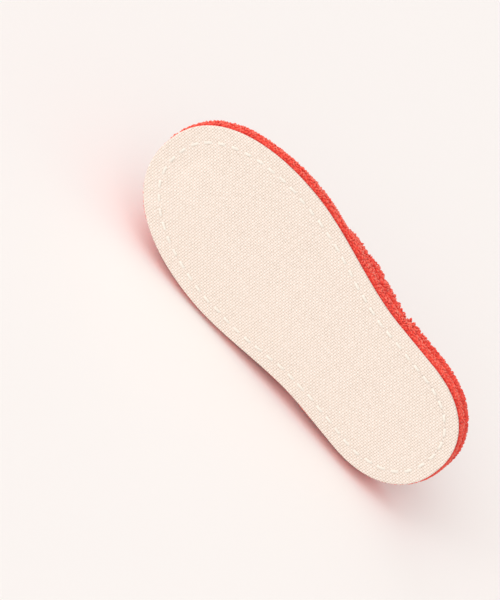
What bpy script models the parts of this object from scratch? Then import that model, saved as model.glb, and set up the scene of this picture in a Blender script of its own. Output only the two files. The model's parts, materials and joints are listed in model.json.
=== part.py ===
"""House slipper: a towelling mule on a flat canvas sole, lying on its side. Metres, +Z up.

Each piece is built in the slipper's own frame, with x from toe to heel, y across and z up from the sole.
An empty then lays the whole slipper on its side, where it rests on its sole edge and its upper.
"""

import math
from collections import namedtuple

import bmesh
import bpy
import numpy as np
from mathutils import Matrix, Vector

# Driving dimensions of the sole
SOLE_LENGTH = 0.250
BALL_WIDTH = 0.100
HEEL_WIDTH = 0.078
TOE_ROUND = 0.083
TOE_POWER = 2.27
HEEL_ROUND = 0.050
HEEL_POWER = 2.23
WAIST_START = 0.080
WAIST_END = 0.170
TOE_SPRING = 0.0020
TOE_SPRING_LENGTH = 0.050

# Layers, from the floor up, with the air left between neighbours
FIT_GAP = 0.0003
OUTSOLE_THICKNESS = 0.0025
BAND_HEIGHT = 0.0105
INSOLE_TOE_THICKNESS = 0.0040
INSOLE_HEEL_THICKNESS = 0.0085
INSOLE_RISE_START = 0.0625
INSOLE_RISE_END = 0.200
INSOLE_CROWN = 0.0012
CROWN_FADE = 0.025
INSOLE_CLEARANCE = 0.0012
INSOLE_FLARE_START = 0.1662
INSOLE_FLARE_END = 0.1752
INSOLE_PROUD = 0.0022
TOE_TUCK = 0.0016
TOE_TUCK_LENGTH = 0.012

# Upper: its wall, its seam on the band, its crest and its collar
UPPER_WALL = 0.0030
SEAM_INSET = 0.0004
UPPER_END = 0.168
CREST_FRONT = 0.040
CREST_REAR = 0.106
CREST_POWER = 1.15
TOE_HEIGHT = 0.023
COLLAR_HEIGHT = 0.050
COLLAR_SWEEP = 2.0
ARCH_POWER = 2.0
WING_START = 0.105
WING_END = 0.150
PROUD_START = 0.120
PROUD_END = 0.165
WING_PROUD = 0.0019
HEM_SIDE = 0.020
HEM_WIDTH = 0.009
HEM_STEP = 0.0007

# How it lies: the sole looks up by this angle, and the cloth is pressed flat where it meets the floor
LYING_TILT = math.radians(15)
MOST_PITCH = math.radians(15)
SOLE_PRESS = 0.0004

# Mesh steps, and the steps used to measure a slope and to find the floor
TOE_STEPS = 13
MIDDLE_STEPS = 26
HEEL_STEPS = 11
INSOLE_LANES = 6
UPPER_SIDE_STEPS = 9
UPPER_ROWS = 14
SMOOTH_ANGLE = math.radians(40)
SLOPE_STEP = 1e-5
PITCH_HALVINGS = 50

# Edge profiles: a row for each level, with its share of the height and its distance outside the outline
EdgeLevel = namedtuple("EdgeLevel", "share outside")
OUTSOLE_EDGE = (
    EdgeLevel(share=0.0, outside=0.0),
    EdgeLevel(share=1.0, outside=0.0),
)
BAND_EDGE = (
    EdgeLevel(share=0.00, outside=-0.0012),
    EdgeLevel(share=0.12, outside=0.0000),
    EdgeLevel(share=0.36, outside=0.0011),
    EdgeLevel(share=0.66, outside=0.0015),
    EdgeLevel(share=0.89, outside=0.0009),
    EdgeLevel(share=1.00, outside=-0.0004),
)
INSOLE_EDGE = (
    EdgeLevel(share=0.00, outside=-0.0016),
    EdgeLevel(share=0.18, outside=-0.0004),
    EdgeLevel(share=0.48, outside=0.0004),
    EdgeLevel(share=0.78, outside=-0.0004),
    EdgeLevel(share=1.00, outside=-0.0028),
)

# Levels at which the layers start
BAND_BASE = OUTSOLE_THICKNESS + FIT_GAP
SEAM_LEVEL = BAND_BASE + BAND_HEIGHT + FIT_GAP

# Colours of the two cloths, as linear red, green and blue
TOWELLING_RED = (0.83, 0.075, 0.050)
CANVAS_CREAM = (0.87, 0.77, 0.68)
CLOTH_ROUGHNESS = 0.9


def smoothstep(start, end, x):
    t = min(max((x - start) / (end - start), 0.0), 1.0)
    return t * t * (3 - 2 * t)


def round_end(distance, reach, power):
    """Share of the full width at this distance from a rounded end that is this long."""
    if distance >= reach:
        return 1.0
    return (1 - (1 - max(distance, 0.0) / reach) ** power) ** (1 / power)


def half_width(x):
    """Half the sole's width: a full ball that narrows through the waist to the heel, rounded at both ends."""
    narrowing = smoothstep(WAIST_START, WAIST_END, x)
    body = (BALL_WIDTH + (HEEL_WIDTH - BALL_WIDTH) * narrowing) / 2
    toe = round_end(x, TOE_ROUND, TOE_POWER)
    heel = round_end(SOLE_LENGTH - x, HEEL_ROUND, HEEL_POWER)
    return body * toe * heel


def toe_lift(x):
    """How far the toe curls up from the floor."""
    return TOE_SPRING * max(1 - max(x, 0.0) / TOE_SPRING_LENGTH, 0.0) ** 2


def arc_stations(reach, power, steps):
    """Distances from a rounded end, close together where the outline turns."""
    angles = [math.pi / 2 * i / steps for i in range(steps + 1)]
    return [reach * (1 - max(math.cos(a), 0.0) ** (2 / power)) for a in angles]


def sole_stations():
    toe = arc_stations(TOE_ROUND, TOE_POWER, TOE_STEPS)
    heel = [SOLE_LENGTH - d for d in arc_stations(HEEL_ROUND, HEEL_POWER, HEEL_STEPS)]
    middle = np.linspace(toe[-1], heel[-1], MIDDLE_STEPS + 1)[1:-1]
    return [*toe, *middle.tolist(), *heel[::-1]]


def outline_normal(x):
    """Outward direction of the outline on its +y side, in plan."""
    if x <= 0.0:
        return Vector((-1.0, 0.0, 0.0))
    if x >= SOLE_LENGTH:
        return Vector((1.0, 0.0, 0.0))
    before = max(x - SLOPE_STEP, 0.0)
    after = min(x + SLOPE_STEP, SOLE_LENGTH)
    rise = half_width(after) - half_width(before)
    return Vector((-rise, after - before, 0.0)).normalized()


def outline_point(x, outside, z):
    """A point on the +y side, moved outwards from the outline by the given distance, at height z."""
    point = Vector((x, half_width(x), z + toe_lift(x))) + outline_normal(x) * outside
    if x <= 0.0 or x >= SOLE_LENGTH:
        point.y = 0.0
    return point


def mirrored(point):
    return Vector((point.x, -point.y, point.z))


def closed_ring(half):
    """A loop round the sole from the points of its +y side, which start at the toe and end at the heel."""
    return [*half, *[mirrored(p) for p in half[-2:0:-1]]]


def add_strip(bm, lower, upper, closed):
    """Quads between two rows of vertices, or triangles where both rows share a vertex."""
    count = len(lower)
    for i in range(count if closed else count - 1):
        j = (i + 1) % count
        corners = [lower[i], lower[j], upper[j], upper[i]]
        distinct = list(dict.fromkeys(corners))
        if len(distinct) > 2:
            bm.faces.new(distinct)


def add_lanes(bm, ring, lanes, crown):
    """Closes a ring with strips across it, raised by the crown along its middle."""
    stations = len(ring) // 2
    rows = [[ring[0]] * (lanes + 1)]
    for i in range(1, stations):
        right = ring[i]
        left = ring[-i]
        row = [right]
        for k in range(1, lanes):
            share = k / lanes
            point = right.co.lerp(left.co, share)
            point.z += crown * (1 - (2 * share - 1) ** 2) * min(1.0, right.co.y / CROWN_FADE)
            row.append(bm.verts.new(point))
        rows.append([*row, left])
    rows.append([ring[stations]] * (lanes + 1))
    for row, following in zip(rows, rows[1:]):
        add_strip(bm, row, following, closed=False)


def build_slab(stations, edge, base, thickness, setback, lanes, crown):
    """A layer of the sole: rings up its edge, closed below by plain strips and above by crowned ones."""
    bm = bmesh.new()
    rings = []
    for level in edge:
        half = [
            outline_point(x, level.outside - setback(x), base + level.share * thickness(x))
            for x in stations
        ]
        rings.append([bm.verts.new(p) for p in closed_ring(half)])
    for lower, upper in zip(rings, rings[1:]):
        add_strip(bm, lower, upper, closed=True)
    add_lanes(bm, rings[0], lanes=1, crown=0.0)
    add_lanes(bm, rings[-1], lanes=lanes, crown=crown)
    return bm


def insole_thickness(x):
    """The footbed is thin under the toes and full under the heel."""
    rise = smoothstep(INSOLE_RISE_START, INSOLE_RISE_END, x)
    return INSOLE_TOE_THICKNESS + (INSOLE_HEEL_THICKNESS - INSOLE_TOE_THICKNESS) * rise


def toe_tuck(x):
    """How far the towelling is drawn in round the tip of the toe."""
    return TOE_TUCK * (1 - smoothstep(0.0, TOE_TUCK_LENGTH, x))


def seam_outside(x):
    """How far the upper's foot stands outside the outline: a little inside in front, proud at the wings."""
    return (SEAM_INSET + WING_PROUD) * smoothstep(PROUD_START, PROUD_END, x) - SEAM_INSET


def insole_setback(x):
    """The insole lies inside the upper's wall, and rolls out over the band's edge behind it."""
    inside = UPPER_WALL + INSOLE_CLEARANCE - seam_outside(x)
    flare = smoothstep(INSOLE_FLARE_START, INSOLE_FLARE_END, x)
    return toe_tuck(x) + inside - (inside + INSOLE_PROUD) * flare


def crest_station(x):
    """Where the arch that starts at station x on the side reaches the crest."""
    side_body = UPPER_END - HEM_SIDE
    crest_body = CREST_REAR - HEM_WIDTH
    if x >= side_body:
        return CREST_REAR - HEM_WIDTH * (UPPER_END - x) / HEM_SIDE
    return CREST_FRONT + (crest_body - CREST_FRONT) * (x / side_body) ** CREST_POWER


def arch_height(x):
    """Height of the crest above the seam."""
    return TOE_HEIGHT + (COLLAR_HEIGHT - TOE_HEIGHT) * x / CREST_REAR


def upper_point(x, angle):
    """A point of the outer face, on the arch that starts at station x of the seam and ends on the crest.

    The angle is 0 at the seam and a right angle at the crest. The arches fan out from the toe, and towards
    the collar they stand over the sole's own width, as upright wings.
    """
    seam = outline_point(x, seam_outside(x) - toe_tuck(x), 0.0)
    crest = crest_station(x)
    along = max(math.cos(angle), 0.0) ** (2 / ARCH_POWER)
    up = math.sin(angle) ** (2 / ARCH_POWER)
    swept = smoothstep(0.0, UPPER_END, x)
    lean = along * (1 - swept) + (1 - up) ** COLLAR_SWEEP * swept
    point_x = crest + (seam.x - crest) * lean
    wing = smoothstep(WING_START, WING_END, x)
    wing_side = half_width(point_x) + seam_outside(x)
    point_y = along * (seam.y * (1 - wing) + wing_side * wing)
    point_z = SEAM_LEVEL + seam.z * (1 - up) + arch_height(point_x) * up
    return Vector((point_x, point_y, point_z))


def upper_stations():
    """Stations along one side of the upper as (station, share of the hem's step)."""
    hem_start = UPPER_END - HEM_SIDE
    hem_roll = HEM_SIDE * HEM_STEP / HEM_WIDTH
    toe = arc_stations(TOE_ROUND, TOE_POWER, TOE_STEPS)
    side = np.linspace(TOE_ROUND, hem_start, UPPER_SIDE_STEPS + 1)[1:].tolist()
    plain = [(x, 0.0) for x in [*toe, *side]]
    hem = [(hem_start + hem_roll, 1.0), ((hem_start + UPPER_END) / 2, 1.0)]
    edge = [(UPPER_END - hem_roll, 1.0), (UPPER_END, 0.5)]
    return [*plain, *hem, *edge]


def arch_grid(bm, columns, angles):
    """Vertices of one face of the upper: a column for each arch, both sides meeting along the crest."""
    half = [[upper_point(x, a) for a in angles] for x, _ in columns]
    crest = [bm.verts.new((column[-1].x, 0.0, column[-1].z)) for column in half]
    right = [[*map(bm.verts.new, column[:-1]), top] for column, top in zip(half, crest)]
    left = [
        [*[bm.verts.new(mirrored(p)) for p in column[:-1]], top]
        for column, top in zip(half[1:], crest[1:])
    ]
    return [*left[::-1], *right]


def build_upper(floor):
    """The vamp: one wall of cloth, open below along its seam and open behind at the collar."""
    stations = upper_stations()
    angles = [math.pi / 2 * k / UPPER_ROWS for k in range(UPPER_ROWS + 1)]
    steps = [share for _, share in stations]
    column_steps = [*steps[:0:-1], *steps]
    bm = bmesh.new()
    outer = arch_grid(bm, stations, angles)
    press_flat(bm.verts, floor)
    for column, following in zip(outer, outer[1:]):
        add_strip(bm, column, following, closed=False)
    bmesh.ops.recalc_face_normals(bm, faces=bm.faces[:])
    bm.normal_update()
    normals = {v: v.normal.copy() for v in bm.verts}
    for column in outer:
        foot = normals[column[0]]
        normals[column[0]] = Vector((foot.x, foot.y, 0.0)).normalized()
    twins = {v: bm.verts.new(v.co - normals[v] * UPPER_WALL) for v in normals}
    hem_steps = {v: step for column, step in zip(outer, column_steps) for v in column}
    for v, step in hem_steps.items():
        v.co += normals[v] * HEM_STEP * step
    press_flat(hem_steps, floor)
    inner = [[twins[v] for v in column] for column in outer]
    for column, following in zip(inner, inner[1:]):
        add_strip(bm, following, column, closed=False)
    seam_outer = [column[0] for column in outer]
    seam_inner = [column[0] for column in inner]
    add_strip(bm, seam_inner, seam_outer, closed=False)
    collar_outer = [*outer[0], *outer[-1][-2::-1]]
    collar_inner = [*inner[0], *inner[-1][-2::-1]]
    add_strip(bm, collar_inner, collar_outer, closed=False)
    return bm


def cloth(name, colour):
    material = bpy.data.materials.new(name)
    material.use_nodes = True
    shader = material.node_tree.nodes["Principled BSDF"]
    shader.inputs["Base Color"].default_value = (*colour, 1.0)
    shader.inputs["Roughness"].default_value = CLOTH_ROUGHNESS
    shader.inputs["Metallic"].default_value = 0.0
    return material


def add_piece(name, bm, material):
    """A named object from the mesh, with its faces turned outwards and its round edges shaded smooth."""
    bmesh.ops.recalc_face_normals(bm, faces=bm.faces[:])
    mesh = bpy.data.meshes.new(name)
    bm.to_mesh(mesh)
    bm.free()
    mesh.shade_smooth()
    mesh.set_sharp_from_angle(angle=SMOOTH_ANGLE)
    mesh.materials.append(material)
    piece = bpy.data.objects.new(name, mesh)
    bpy.context.scene.collection.objects.link(piece)
    return piece


def floor_normal(pitch):
    """Direction down to the floor in the slipper's frame, on its +y side."""
    side = Vector((0.0, math.cos(LYING_TILT), math.sin(LYING_TILT)))
    return Vector((math.sin(pitch), 0.0, 0.0)) + side * math.cos(pitch)


def find_floor(soles):
    """The floor as (normal, distance): it meets the sole at the ball and at the heel, a little pressed in."""
    points = [v.co for sole in soles for v in sole.data.vertices]
    front = [p for p in points if p.x < SOLE_LENGTH / 2]
    rear = [p for p in points if p.x >= SOLE_LENGTH / 2]
    low = 0.0
    high = MOST_PITCH
    for _ in range(PITCH_HALVINGS):
        normal = floor_normal((low + high) / 2)
        if max(map(normal.dot, front)) > max(map(normal.dot, rear)):
            low = (low + high) / 2
        else:
            high = (low + high) / 2
    return normal, max(map(normal.dot, points)) - SOLE_PRESS


def press_flat(vertices, floor):
    """Moves what would sink into the floor back onto it."""
    normal, distance = floor
    for v in vertices:
        v.co -= normal * max(normal.dot(v.co) - distance, 0.0)


def lying_matrix(pieces, floor):
    """Lays the slipper on the floor, toe to heel along +X, over the middle of its box."""
    up = -floor[0]
    heelward = Vector((1.0, 0.0, 0.0))
    heelward = (heelward - up * heelward.dot(up)).normalized()
    turn = Matrix((heelward, up.cross(heelward), up)).to_4x4()
    laid = [turn @ v.co for piece in pieces for v in piece.data.vertices]
    low = [min(p[axis] for p in laid) for axis in range(3)]
    high = [max(p[axis] for p in laid) for axis in range(3)]
    shift = Vector((-(low[0] + high[0]) / 2, -(low[1] + high[1]) / 2, -low[2]))
    return Matrix.Translation(shift) @ turn


def build_slipper():
    stations = sole_stations()
    red = cloth("towelling", TOWELLING_RED)
    cream = cloth("canvas", CANVAS_CREAM)
    outsole = build_slab(
        stations,
        OUTSOLE_EDGE,
        base=0.0,
        thickness=lambda x: OUTSOLE_THICKNESS,
        setback=lambda x: 0.0,
        lanes=1,
        crown=0.0,
    )
    midsole = build_slab(
        stations,
        BAND_EDGE,
        base=BAND_BASE,
        thickness=lambda x: BAND_HEIGHT,
        setback=toe_tuck,
        lanes=1,
        crown=0.0,
    )
    insole = build_slab(
        stations,
        INSOLE_EDGE,
        base=SEAM_LEVEL,
        thickness=insole_thickness,
        setback=insole_setback,
        lanes=INSOLE_LANES,
        crown=INSOLE_CROWN,
    )
    pieces = [
        add_piece("outsole", outsole, cream),
        add_piece("midsole", midsole, red),
        add_piece("insole", insole, red),
    ]
    floor = find_floor(pieces)
    for piece in pieces:
        press_flat(piece.data.vertices, floor)
    pieces.append(add_piece("upper", build_upper(floor), red))
    slipper = bpy.data.objects.new("slipper", None)
    bpy.context.scene.collection.objects.link(slipper)
    for piece in pieces:
        piece.parent = slipper
    slipper.matrix_world = lying_matrix(pieces, floor)


for old in list(bpy.data.objects):
    bpy.data.objects.remove(old, do_unlink=True)
build_slipper()
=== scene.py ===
# %% [markdown]
# A towelling house slipper, lying on its side so that its canvas sole shows. The solids of its four
# pieces come from the frame. They could be shown as they are, but plain solids have no cloth on them.
# This lesson dresses them: woven canvas with a running stitch, and looped cotton towelling over a foam
# sole, a padded footbed and an open-backed vamp.

# %% Load the frame
import json
import math

import bmesh
import bpy
import numpy as np
from mathutils import Matrix, Vector


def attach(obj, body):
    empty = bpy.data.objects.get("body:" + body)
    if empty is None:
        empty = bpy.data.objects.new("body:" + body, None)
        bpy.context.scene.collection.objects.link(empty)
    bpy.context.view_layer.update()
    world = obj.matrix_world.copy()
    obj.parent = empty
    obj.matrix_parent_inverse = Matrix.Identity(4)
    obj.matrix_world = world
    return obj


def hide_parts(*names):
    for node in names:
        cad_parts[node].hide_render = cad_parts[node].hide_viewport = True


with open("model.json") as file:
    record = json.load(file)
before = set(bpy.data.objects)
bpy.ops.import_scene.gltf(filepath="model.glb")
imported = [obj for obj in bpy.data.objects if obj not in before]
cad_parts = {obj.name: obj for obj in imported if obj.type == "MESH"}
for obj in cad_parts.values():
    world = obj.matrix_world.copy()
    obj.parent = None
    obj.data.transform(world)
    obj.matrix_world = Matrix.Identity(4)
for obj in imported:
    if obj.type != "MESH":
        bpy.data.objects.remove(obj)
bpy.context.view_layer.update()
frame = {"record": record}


# %% [markdown]
# A slipper is easiest to describe in its own frame: x from toe to heel, y across, z up from the sole. The
# turn that lays it on its side could be typed in, but it would then have to be changed whenever the
# solids are. The frame's record says where the middle of the sole is and which way it faces, and the long
# axis has no part along the world's Y, so these facts are enough to lay every point where its solids are.

# %% The slipper's own frame
SOLE_LENGTH = 0.250
FLOOR_CLEARANCE = 0.0001

sole_mount = next(m for m in frame["record"]["mounts"] if m["name"] == "sole_face")
upward = -np.array(sole_mount["axis"])
heelward = np.cross(upward, (0.0, 1.0, 0.0))
heelward /= np.linalg.norm(heelward)
TO_ROW = np.stack((heelward, np.cross(upward, heelward), upward), axis=1)
TOE_TIP = np.array(sole_mount["pos_m"]) - TO_ROW @ (SOLE_LENGTH / 2, 0.0, 0.0)


def laid(points):
    """Slipper points in the frame of the row, with what would sink into the floor pressed onto it."""
    placed = np.asarray(points) @ TO_ROW.T + TOE_TIP
    placed[..., 2] = np.maximum(placed[..., 2], FLOOR_CLEARANCE)
    return placed


print("toe tip at", TOE_TIP.round(4), "long axis", heelward.round(4))

# %% [markdown]
# The photo shows the sole almost squarely, from 17 degrees to the side of the rolled rim, through a long
# lens, and the slipper points down to the right. A level camera would need a slipper propped up to face
# it, and this one lies on the floor. So the camera keeps its angle to the slipper and is rolled about its
# own axis. It is aimed a little to the side instead of using lens shift, because a shift would stay on in
# every other view.

# %% Camera
IMAGE_HEIGHT = 600
SENSOR_MM = 36.0
FOCAL_PIXELS = 2214.8
CAMERA_DISTANCE = 1.3
SIDE_ANGLE = math.radians(17)
LONG_AXIS_DROP = math.radians(50.7)
# pixels from the middle of the picture to the middle of the sole, to the right and down
SOLE_FROM_CENTRE = (50.4, 6.8)


def camera_axes():
    """Right, up and back of the camera in the frame of the row, while it looks straight at the sole."""
    back = TO_ROW @ (0.0, -math.sin(SIDE_ANGLE), -math.cos(SIDE_ANGLE))
    crosswise = np.cross(back, heelward)
    right = math.cos(LONG_AXIS_DROP) * heelward + math.sin(LONG_AXIS_DROP) * crosswise
    return right, np.cross(back, right), back


def add_camera():
    right, up, back = camera_axes()
    middle = np.array(sole_mount["pos_m"])
    turned = back + (right * SOLE_FROM_CENTRE[0] - up * SOLE_FROM_CENTRE[1]) / FOCAL_PIXELS
    turned /= np.linalg.norm(turned)
    right = right - turned * (right @ turned)
    right /= np.linalg.norm(right)
    axes = Matrix(np.stack((right, np.cross(turned, right), turned), axis=1)).to_4x4()
    data = bpy.data.cameras.new("camera")
    data.sensor_width = SENSOR_MM
    data.lens = FOCAL_PIXELS * SENSOR_MM / IMAGE_HEIGHT
    camera = bpy.data.objects.new("camera", data)
    bpy.context.scene.collection.objects.link(camera)
    camera.matrix_world = Matrix.Translation(middle + back * CAMERA_DISTANCE) @ axes
    bpy.context.scene.camera = camera
    return camera


camera = add_camera()
print("camera at", [round(c, 3) for c in camera.location], "lens", round(camera.data.lens, 1), "mm")

# %% [markdown]
# The outline of the sole is a full ball that narrows through a waist to the heel, with a superellipse at
# each end, and the toe curls up a little. A curve drawn by hand could follow it, but a formula takes only
# a few sizes, is smooth at any step and is the same as in the solids.

# %% Outline of the sole
BALL_WIDTH = 0.100
HEEL_WIDTH = 0.078
TOE_ROUND = 0.083
TOE_POWER = 2.27
HEEL_ROUND = 0.050
HEEL_POWER = 2.23
WAIST_START = 0.080
WAIST_END = 0.170
TOE_SPRING = 0.0020
TOE_SPRING_LENGTH = 0.050
SLOPE_STEP = 1e-5


def smoothstep(start, end, x):
    t = np.clip((x - start) / (end - start), 0.0, 1.0)
    return t * t * (3 - 2 * t)


def round_end(distance, reach, power):
    return (1 - np.clip(1 - distance / reach, 0.0, 1.0) ** power) ** (1 / power)


def half_width(x):
    body = (BALL_WIDTH + (HEEL_WIDTH - BALL_WIDTH) * smoothstep(WAIST_START, WAIST_END, x)) / 2
    toe = round_end(x, TOE_ROUND, TOE_POWER)
    return body * toe * round_end(SOLE_LENGTH - x, HEEL_ROUND, HEEL_POWER)


def toe_lift(x):
    return TOE_SPRING * np.clip(1 - np.maximum(x, 0.0) / TOE_SPRING_LENGTH, 0.0, 1.0) ** 2


def edge_normal(x):
    """Outward direction of the outline on its +y side, as (x, y)."""
    before = np.maximum(x - SLOPE_STEP, 0.0)
    after = np.minimum(x + SLOPE_STEP, SOLE_LENGTH)
    rise = half_width(after) - half_width(before)
    length = np.hypot(rise, after - before)
    return -rise / length, (after - before) / length


fifths = np.linspace(0, SOLE_LENGTH, 6)
print("width of the sole at each fifth:", (2 * half_width(fifths) * 1000).round(1), "mm")

# %% [markdown]
# The wall, the seams and the stitches all run round the sole, beside its outline. Their points could be
# taken at even steps from toe to heel, but would then lie far apart round both ends. So they are spaced
# evenly along the edge, which gives stitches and towelling the same grain everywhere. A ring is a row of
# such points, moved outwards or inwards from the outline.

# %% Rings round the sole
OUTLINE_SAMPLES = 6000


def travel(points):
    """Distance travelled along a row of points, from its first."""
    steps = np.linalg.norm(np.diff(points, axis=0), axis=1)
    return np.concatenate(([0.0], np.cumsum(steps)))


def round_the_sole(count):
    """Stations and sides of points spaced evenly round the outline, from the toe's tip over the +y side."""
    x = SOLE_LENGTH * (1 - np.cos(np.linspace(0, math.pi, OUTLINE_SAMPLES))) / 2
    along = travel(np.stack((x, half_width(x)), axis=1))
    share = np.arange(count) / count
    station = np.interp((1 - np.abs(1 - 2 * share)) * along[-1], along, x)
    return station, np.where(share <= 0.5, 1.0, -1.0)


def ring(count, outside, height):
    """Points round the sole, moved outwards from its outline, at a height above the sole's face.

    Both distances may be one number for the whole ring or a number for each of its points.
    """
    x, side = round_the_sole(count)
    normal_x, normal_y = edge_normal(x)
    y = (half_width(x) + normal_y * outside) * side
    return np.stack((x + normal_x * outside, y, height + toe_lift(x)), axis=1)


edge_length = 2 * travel(ring(OUTLINE_SAMPLES, 0.0, 0.0)[: OUTLINE_SAMPLES // 2 + 1])[-1]
print("edge of the sole:", round(edge_length * 1000), "mm round")

# %% [markdown]
# Most pieces here are slabs. A plain plate with bevels would be the quick way, but these edges swell, so
# each slab is built as rings of points up its edge, and strips that run across from one side to the other
# close it below and above. One helper joins the rings, another lays the strips, and the third makes a
# slab with both. A face that stays hidden needs only two strips.

# %% Slabs from rings
HIDDEN_LANES = 2


def ring_faces(rings, count):
    """Quads between neighbouring rings of points that are stored one after the other."""
    i = np.arange(count)
    j = (i + 1) % count
    base = np.arange(rings - 1)[:, None] * count
    return np.stack((base + i, base + j, base + count + j, base + count + i), axis=-1).reshape(-1, 4).tolist()


def cap(points, ring_start, count, lanes):
    """Strips across the ring that starts at ring_start: (new points, faces)."""
    half = count // 2
    rows = np.arange(1, half)
    share = np.linspace(0, 1, lanes + 1)[1:-1, None]
    right = points[ring_start + rows][:, None]
    left = points[ring_start + count - rows][:, None]
    inner = (right * (1 - share) + left * share).reshape(-1, 3)
    index = np.empty((half - 1, lanes + 1), int)
    index[:, 0] = ring_start + rows
    index[:, -1] = ring_start + count - rows
    index[:, 1:-1] = len(points) + np.arange(len(inner)).reshape(half - 1, lanes - 1)
    quads = np.stack((index[:-1, :-1], index[:-1, 1:], index[1:, 1:], index[1:, :-1]), axis=-1)
    toe = [[ring_start, b, a] for a, b in zip(index[0, :-1], index[0, 1:])]
    heel = [[ring_start + half, a, b] for a, b in zip(index[-1, :-1], index[-1, 1:])]
    return inner, [*quads.reshape(-1, 4).tolist(), *toe, *heel]


def slab(rings, first_lanes, last_lanes):
    """Rings joined up, with strips across the first and the last: (points, faces).

    The points of the rings come first, then those inside the first ring, then those inside the last.
    """
    count = len(rings[0])
    points = np.vstack(rings)
    faces = ring_faces(len(rings), count)
    for start, lanes in ((0, first_lanes), ((len(rings) - 1) * count, last_lanes)):
        inner, across = cap(points, start, count, lanes)
        points = np.vstack((points, inner))
        faces += across
    return points, faces


print("two rings of 8 points are joined by", len(ring_faces(2, 8)), "faces")

# %% [markdown]
# Each piece is a mesh that rides on the slipper and may stand for one of its solids. Its finish could be
# laid out on a UV map, but soft closed forms unwrap in patches. So every vertex keeps its place in the
# slipper's frame as an attribute, which the finishes read, together with any other numbers that a piece
# needs.

# %% Pieces of the slipper
WELD_DISTANCE = 1e-6


def add_values(mesh, name, values):
    """Stores a number, or a vector, for each vertex."""
    vector = values.ndim == 2
    made = mesh.attributes.new(name, "FLOAT_VECTOR" if vector else "FLOAT", "POINT")
    made.data.foreach_set("vector" if vector else "value", values.astype(np.float32).ravel())


def add_piece(name, points, faces, finish, slot, node=None, turn=True, weld=False, **values):
    """A shown piece from slipper points, with a number per vertex for each of the named values.

    Its faces are turned outwards unless they are known to be right, and the points that meet are welded
    on request.
    """
    mesh = bpy.data.meshes.new(name)
    mesh.from_pydata(laid(points).tolist(), [], faces)
    add_values(mesh, "slipper", np.asarray(points))
    for value_name, value in values.items():
        add_values(mesh, value_name, value)
    if turn:
        bm = bmesh.new()
        bm.from_mesh(mesh)
        if weld:
            bmesh.ops.remove_doubles(bm, verts=bm.verts[:], dist=WELD_DISTANCE)
        bmesh.ops.recalc_face_normals(bm, faces=bm.faces[:])
        bm.to_mesh(mesh)
        bm.free()
    mesh.shade_smooth()
    mesh.materials.append(finish)
    piece = bpy.data.objects.new(name, mesh)
    bpy.context.scene.collection.objects.link(piece)
    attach(piece, "root")
    if node:
        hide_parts(node)
    mesh.calc_loop_triangles()
    print(name, "has", len(mesh.vertices), "vertices and", len(mesh.loop_triangles), "triangles")
    return piece


# %% [markdown]
# Shader nodes are usually wired by hand, and a long sum then fills the screen with links. Plain
# arithmetic is easier to read. So a small class wraps a node's output, and its operators add Math nodes:
# a line such as 1 - mask builds the nodes it says.

# %% Shader values
class Value:
    """The output of a shader node, usable in Python arithmetic."""

    def __init__(self, finish, socket):
        self.finish = finish
        self.socket = socket

    def __add__(self, other):
        return self.finish.maths("ADD", self, other)

    def __sub__(self, other):
        return self.finish.maths("SUBTRACT", self, other)

    def __rsub__(self, other):
        return self.finish.maths("SUBTRACT", other, self)

    def __mul__(self, other):
        return self.finish.maths("MULTIPLY", self, other)

    def __truediv__(self, other):
        return self.finish.maths("DIVIDE", self, other)

    def __rtruediv__(self, other):
        return self.finish.maths("DIVIDE", other, self)

    __radd__ = __add__
    __rmul__ = __mul__


print("operators that take a number on their left:", [name for name in vars(Value) if "__r" in name])

# %% [markdown]
# A finish is a material and the nodes that feed its shader. Each node could be added and set by lines of
# its own, but those would soon repeat. Here every node comes from one method, which sets the node's own
# settings first and then its sockets, and the kinds that the slipper needs often have a short method
# more. The plain paper of the floor is the first finish made with it.

# %% Finishes
FLOOR_PALE = (0.945, 0.905, 0.885, 1.0)


class Finish:
    """A material under construction: its nodes, and the Principled shader that they feed."""

    def __init__(self, name, roughness, **constants):
        self.material = bpy.data.materials.new(name)
        self.material.use_nodes = True
        self.shader = self.material.node_tree.nodes["Principled BSDF"]
        self.shader.inputs["Roughness"].default_value = roughness
        for socket, value in constants.items():
            self.shader.inputs[socket.replace("_", " ")].default_value = value

    def node(self, kind, settings, sockets, output=0):
        """Adds a node, sets its settings, then fills its sockets with numbers or links."""
        made = self.material.node_tree.nodes.new(kind)
        for name, value in settings.items():
            if name == "stops":
                self.set_stops(made.color_ramp, value)
            else:
                setattr(made, name, value)
        for name, value in sockets.items():
            self.fill(made.inputs[name], value)
        return Value(self, made.outputs[output])

    def set_stops(self, ramp, stops):
        while len(ramp.elements) < len(stops):
            ramp.elements.new(1.0)
        for element, (place, colour) in zip(ramp.elements, stops):
            element.position = place
            element.color = (*colour, 1.0)

    def fill(self, socket, value):
        if isinstance(value, Value):
            self.material.node_tree.links.new(value.socket, socket)
        else:
            socket.default_value = value

    def maths(self, operation, *values):
        return self.node("ShaderNodeMath", {"operation": operation}, dict(enumerate(values)))

    def mix(self, share, first, second):
        """Colour between two colours."""
        return self.node("ShaderNodeMix", {"data_type": "RGBA"}, {0: share, 6: first, 7: second}, 2)

    def ramp(self, tone, stops):
        return self.node("ShaderNodeValToRGB", {"stops": stops}, {"Fac": tone})

    def attribute(self, name, output):
        return self.node("ShaderNodeAttribute", {"attribute_name": name}, {}, output)

    def noise(self, place, scale, detail=2.0):
        return self.node("ShaderNodeTexNoise", {}, {"Vector": place, "Scale": scale, "Detail": detail})

    def feed(self, socket, value):
        self.fill(self.shader.inputs[socket], value)

    def bump(self, height, distance):
        self.feed("Normal", self.node("ShaderNodeBump", {}, {"Height": height, "Distance": distance}))


floor_paper = Finish("floor_paper", roughness=0.85)
floor_paper.feed("Base Color", FLOOR_PALE)
print("first finish:", floor_paper.material.name)

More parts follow.
